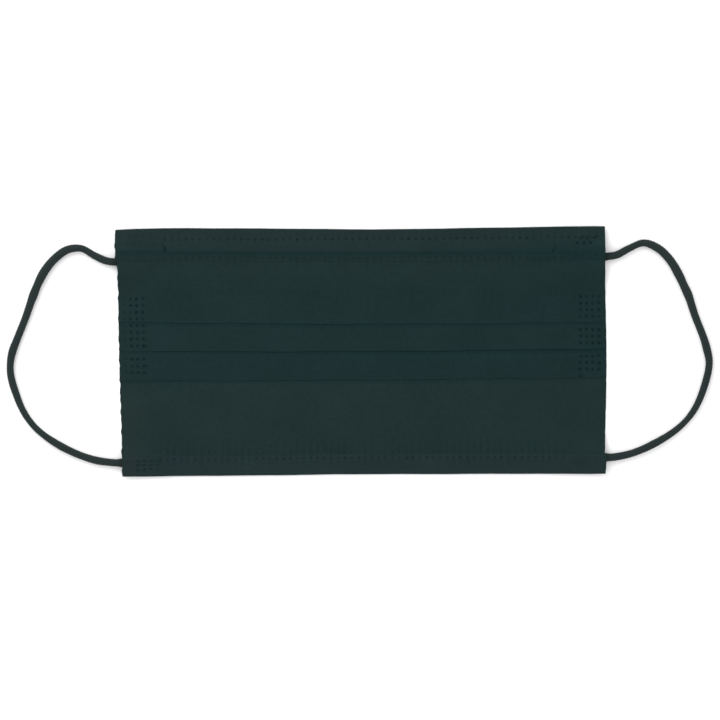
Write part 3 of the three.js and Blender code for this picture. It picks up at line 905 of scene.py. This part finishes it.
def height_over_wire(u, turn):
    """The height of the top hem's front leg, as a function of y. It swells over the wire, with a long
    slope above and a short drop below, and dips at the wire's ends."""
    x = across(u, 36.7)
    past = np.maximum(WIRE_LOW[0] - x, x - WIRE_HIGH[0])
    dip = 0.6 * smooth(past, 0.0, 0.45) - 0.4 * smooth(past, 0.55, 1.3)
    swell = WIRE_HIGH[2] + WIRE_GAP + HEM_PLY / 2 - TOP_FRONT_Z

    def height_at(y):
        over_wire = 1 - dip * (1 - smooth(y, WIRE_HIGH[1] - 0.3, WIRE_HIGH[1] + 1.5))
        above = 1 - smooth(y, WIRE_HIGH[1] - 0.2, turn)
        ridge = above * (0.55 * smooth(y - WIRE_LOW[1], *STEEP) + 0.45 * smooth(y - WIRE_LOW[1], *EASING))
        return TOP_FRONT_Z + swell * over_wire * ridge

    return height_at


def top_hem_relief(x, y):
    depth, weld = press_in(x, y, TOP_MARKS)
    below, low_valley = puckers(x, y, TOP_DOTS, TOP_LOWER_WELD_LINE, -5.0)
    above, high_valley = puckers(x, y, TOP_DOTS, TOP_WELD_LINE, 3.0)
    # Painted shade, given as weld share, in the band below the crease.
    under = at(CREASE_LINE, x / HALF_WIDTH) - y
    crease = smooth(under, -0.35, 0.35) * (1 - smooth(under, 1.2, 3.7))
    # The valleys between puckers get painted shade as weld share.
    weld = np.maximum(weld, PUCKER_SHADE * (low_valley + high_valley))
    return below + above - depth, np.maximum(weld, CREASE_SHADE * crease)


def top_hem(material):
    dots = put_in(columns_for_dots(TOP_DOTS, 40.2), *TOP_PATCH_COLUMNS)
    dots = put_in(dots, *WIRE_END_COLUMNS, gap=0.0)
    rows = Rows(hem_columns(dots, TOP_OVERHANG), HEM_PLY)
    u = rows.u
    edge = at(TOP_EDGE, u) + wander(across(u, 44.0), 4.0, WANDER["edge"])
    roll = (TOP_FRONT_Z - BACK_Z) / 2
    turn = edge - HEM_PLY / 2 - roll
    weld_line = at(TOP_WELD_LINE, u)
    hem_line = at(TOP_HEM_LINE, u) + wander(across(u, 36.7), 2.0, WANDER["top hem line"])
    back_leg(rows, turn - BACK_LEG, weld_line, turn, counts=(3, 4))
    rows.arc(turn, BACK_Z + roll, roll, -90, 90, 1, 12)
    lines = [turn - 0.1, weld_line + WELD_BAND, weld_line - WELD_BAND]
    lines += [WIRE_LOW[1] + STEEP[1], WIRE_LOW[1] + STEEP[0], at(TOP_LOWER_WELD_LINE, u) - 0.5, hem_line]
    front_leg(rows, lines, (4, 8, 18, 8, 6, 4), hem_line, height_over_wire(u, turn))
    rows.add(hem_line, TOP_FRONT_Z - (HEM_PLY - CUT_PLY) / 2, thick=CUT_PLY, kind="dots", seen=True)

    piece = cloth("mask_top_hem", rows, top_hem_relief, top_hem_shade, material)
    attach(piece, "root")
    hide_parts("top_hem")
    return piece


def bottom_hem_relief(x, y):
    depth, weld = press_in(x, y, BOTTOM_MARKS)
    below, valley = puckers(x, y, BOTTOM_DOTS, BOTTOM_WELD_LINE, -3.5)
    # The valleys between puckers get painted shade as weld share.
    return below - depth, np.maximum(weld, PUCKER_SHADE * valley)


def bottom_hem(material):
    dots = columns_for_dots(BOTTOM_DOTS, BOTTOM_WELD_LINE[1])
    dots = put_in(dots, *LOWER_PATCH_COLUMNS)
    rows = Rows(hem_columns(dots, BOTTOM_OVERHANG), HEM_PLY)
    u = rows.u
    edge = at(BOTTOM_EDGE, u) - wander(across(u, -44.0), 5.0, WANDER["edge"])
    roll = (BOTTOM_FRONT_Z - BACK_Z) / 2
    turn = edge + HEM_PLY / 2 + roll
    weld_line = at(BOTTOM_WELD_LINE, u)
    hem_line = at(BOTTOM_HEM_LINE, u) + wander(across(u, -38.0), 3.0, WANDER["bottom hem line"])
    lines = (hem_line, weld_line + WELD_BAND, weld_line - WELD_BAND, FEW_ROWS, turn + 0.05)
    front_leg(rows, lines, (3, 8, 14, 2), hem_line, lambda y: BOTTOM_FRONT_Z)
    rows.arc(turn, BACK_Z + roll, roll, 90, 270, 1, 10)
    back_leg(rows, turn + 1, weld_line, turn + BACK_LEG, counts=(4, 2))
    rows.add(turn + BACK_LEG, BACK_Z, nz=-1.0)

    piece = cloth("mask_bottom_hem", rows, bottom_hem_relief, bottom_hem_shade, material)
    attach(piece, "root")
    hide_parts("bottom_hem")
    return piece


# -------- materials

class Nodes:
    """Short ways to add shader nodes to one material."""

    def __init__(self, name):
        self.material = bpy.data.materials.new(name)
        self.material.use_nodes = True
        self.tree = self.material.node_tree

    def fill(self, node, inputs):
        for key, value in inputs.items():
            if isinstance(value, bpy.types.NodeSocket):
                self.tree.links.new(value, node.inputs[key])
            else:
                node.inputs[key].default_value = value
        return node

    def add(self, kind, inputs, **settings):
        node = self.tree.nodes.new(kind)
        for key, value in settings.items():
            setattr(node, key, value)
        return self.fill(node, inputs)

    def shade(self, inputs):
        """Fill the shader's sockets, and return the finished material."""
        self.fill(self.tree.nodes["Principled BSDF"], inputs)
        return self.material

    def math(self, operation, *values):
        return self.add("ShaderNodeMath", dict(enumerate(values)), operation=operation).outputs[0]

    def weighted(self, total, *terms):
        """total, and each value times its weight."""
        for value, weight in terms:
            total = self.math("ADD", total, self.math("MULTIPLY", value, weight))
        return total

    def mix_colour(self, share, first, second):
        return self.add("ShaderNodeMix", {0: share, 6: first, 7: second}, data_type="RGBA").outputs[2]

    def ramp(self, value, low, high):
        inputs = {"Value": value, "From Min": low, "From Max": high}
        return self.add("ShaderNodeMapRange", inputs, interpolation_type="SMOOTHSTEP").outputs["Result"]

    def noise(self, vector, scale, detail, rough, distortion=0.0):
        inputs = {"Vector": vector, "Scale": scale, "Detail": detail, "Roughness": rough}
        return self.add("ShaderNodeTexNoise", {**inputs, "Distortion": distortion}).outputs["Fac"]

    def attribute(self, name):
        return self.add("ShaderNodeAttribute", {}, attribute_name=name).outputs["Fac"]

    def cloth_place(self):
        """The place on the cloth, in millimetres: across and along."""
        return self.add("ShaderNodeUVMap", {}, uv_map="cloth").outputs["UV"]

    def stretched(self, vector, scale, turn=0.0):
        inputs = {"Vector": vector, "Scale": scale, "Rotation": (0, 0, turn)}
        return self.add("ShaderNodeMapping", inputs).outputs["Vector"]

    def bump(self, height, strength, distance):
        inputs = {"Height": height, "Strength": strength, "Distance": distance}
        return self.add("ShaderNodeBump", inputs).outputs["Normal"]


PANEL_COLOUR = (0.0093, 0.0179, 0.0177)
TOP_HEM_COLOUR = (0.0106, 0.0172, 0.0177)
BOTTOM_HEM_COLOUR = (0.011, 0.0186, 0.0197)
# The share of each colour channel that is left in fully fused cloth, and, as painted shade, in the
# panel and the hems where their stack attribute is 1.
FUSED = (0.22, 0.43, 0.45)
SHADED_PANEL = (0.795, 0.9, 0.935)
SHADED_HEM = (0.69, 0.98, 0.97)
FIBRE_GLINT = (0.4, 1.0, 1.0, 1)  # tint of what the fibres reflect

# The bonds of the nonwoven, in millimetres: distances between them, and half sizes, across and along.
BOND_PITCH = (1.35, 0.68)
BOND_SIZE = (0.34, 0.2)
FIBRE_BUMP = 0.06 * MM


def bond_pattern(n, place):
    """Small oval bonds in rows like bricks, 1 in a bond and 0 between."""
    parts = n.add("ShaderNodeSeparateXYZ", {"Vector": place}).outputs
    row = n.math("DIVIDE", parts["Y"], BOND_PITCH[1])
    shift = n.math("MULTIPLY", n.math("PINGPONG", n.math("FLOOR", row), 1.0), 0.5)
    column = n.math("ADD", n.math("DIVIDE", parts["X"], BOND_PITCH[0]), shift)
    squares = []
    for cells, pitch, size in zip((column, row), BOND_PITCH, BOND_SIZE):
        off = n.math("SUBTRACT", n.math("FRACT", cells), 0.5)
        squares.append(n.math("POWER", n.math("MULTIPLY", off, pitch / size), 2.0))
    return n.ramp(n.math("SQRT", n.math("ADD", *squares)), 1.25, 0.75)


def filaments(n, place, scale, turn, thickness):
    """Fine curved lines at every level crossing of a stretched noise, from 0 to 1."""
    level = n.noise(n.stretched(place, scale, turn), 1.0, 1.0, 0.4, 0.3)
    away = n.math("ABSOLUTE", n.math("SUBTRACT", level, 0.5))
    return n.ramp(away, thickness, 0.0)


def spunbond(name, colour, shaded_share):
    """Point-bonded nonwoven: bonds in a web of fine fibres. It is darker where it is fused, darker with
    painted shade where its stack attribute is above 0, and lighter with painted light where it is below 0."""
    n = Nodes(name)
    place = n.cloth_place()
    bond = bond_pattern(n, place)
    steep = filaments(n, place, (2.6, 0.8, 1.0), 0.45, 0.035)
    level = filaments(n, place, (0.7, 2.4, 1.0), 0.3, 0.035)
    slanted = filaments(n, place, (1.1, 3.1, 1.0), -0.8, 0.03)
    threads = n.math("MAXIMUM", n.math("MAXIMUM", steep, level), slanted)
    grain = n.noise(n.stretched(place, (3.0, 7.0, 1.0), 0.5), 1.0, 4.0, 0.7, 0.6)
    web = n.noise(place, 0.55, 3.0, 0.6)
    cloud = n.noise(place, 0.06, 3.0, 0.55)
    weld = n.attribute("weld")

    shaded = (*np.multiply(colour, shaded_share), 1)
    fused = (*np.multiply(colour, FUSED), 1)
    # Painted shade from the stack attribute, and painted light where it is below 0.
    darker = n.mix_colour(n.attribute("stack"), colour + (1,), shaded)
    darker.node.clamp_factor = False
    # Fused cloth is darker; the weld share also brings painted shade below the crease, between puckers and
    # at the wire's ends.
    tint = n.mix_colour(weld, darker, fused)
    tone = n.weighted(0.405, (grain, 0.6), (web, 0.28), (cloud, 0.35), (threads, 0.16), (bond, -0.14))
    tinted = n.add("ShaderNodeVectorMath", {0: tint}, operation="SCALE")
    n.fill(tinted, {"Scale": n.math("MAXIMUM", tone, 0.2)})
    height = n.weighted(0.0, (threads, 0.45), (bond, -1.0), (grain, 0.5), (web, 0.6))
    return n.shade({
        "Base Color": tinted.outputs["Vector"],
        "Roughness": n.weighted(0.84, (bond, -0.12), (weld, -0.2)),
        "Specular IOR Level": 0.06,
        "Specular Tint": FIBRE_GLINT,
        "Sheen Weight": 0.02,
        "Sheen Roughness": 0.6,
        "Sheen Tint": FIBRE_GLINT,
        "Normal": n.bump(height, 0.6, FIBRE_BUMP),
    })


def knitted_elastic():
    n = Nodes("knitted_elastic")
    place = n.cloth_place()
    yarn = n.noise(n.stretched(place, (2.0, 9.0, 1.0), 0.2), 1.0, 3.0, 0.6, 0.4)
    slow = n.noise(place, 0.09, 2.0, 0.5)
    # Painted shade in the knit's dips, lighter stitch tops, and darker weld spots, from the relief
    # attribute.
    tone = n.weighted(-0.15, (n.attribute("relief"), 0.75), (yarn, 0.35), (slow, 0.3))
    dark, light = (0.006, 0.0118, 0.0115, 1), (0.0158, 0.0252, 0.0246, 1)
    return n.shade({
        "Base Color": n.mix_colour(n.ramp(tone, 0.1, 1.0), dark, light),
        "Roughness": n.weighted(0.72, (yarn, 0.2)),
        "Specular IOR Level": 0.15,
        "Sheen Weight": 0.06,
        "Sheen Roughness": 0.5,
        "Normal": n.bump(yarn, 0.5, FIBRE_BUMP),
    })


def coated_wire():
    n = Nodes("coated_wire")
    where = n.add("ShaderNodeTexCoord", {}).outputs["Object"]
    grain = n.noise(n.stretched(where, (60.0, 900.0, 900.0)), 1.0, 3.0, 0.6)
    scuff = n.noise(where, 250.0, 3.0, 0.6)
    dull, bright = (0.62, 0.62, 0.59, 1), (0.72, 0.72, 0.7, 1)
    return n.shade({
        "Base Color": n.mix_colour(n.ramp(scuff, 0.35, 0.75), dull, bright),
        "Roughness": n.weighted(0.38, (scuff, 0.2)),
        "Normal": n.bump(grain, 0.3, 0.05 * MM),
    })


# -------- assembly

def clear_defaults():
    """A new scene may hold a cube, a lamp and a camera."""
    for name in ("Cube", "Light", "Camera"):
        if name in bpy.data.objects and "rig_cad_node" not in bpy.data.objects[name]:
            bpy.data.objects.remove(bpy.data.objects[name])


def make_floor():
    half, level = 3000.0, -0.05
    corners = [(-half, -half, level), (half, -half, level), (half, half, level), (-half, half, level)]
    pale = {"Base Color": (0.9, 0.9, 0.9, 1), "Roughness": 0.9, "Specular IOR Level": 0.0}
    material = Nodes("pale_floor").shade(pale)
    floor = make_mesh("floor", np.array(corners), np.array([(0, 1, 2, 3)]), material)


clear_defaults()
make_camera()
elastic = knitted_elastic()
ear_loop("left", elastic)
ear_loop("right", elastic)

make_light()
make_floor()
panel = laminate(spunbond("panel_spunbond", PANEL_COLOUR, SHADED_PANEL))
hems = [
    top_hem(spunbond("top_hem_spunbond", TOP_HEM_COLOUR, SHADED_HEM)),
    bottom_hem(spunbond("bottom_hem_spunbond", BOTTOM_HEM_COLOUR, SHADED_HEM)),
]

wire = frame["nodes"]["nose_wire"]
wire.data.materials.clear()
wire.data.materials.append(coated_wire())
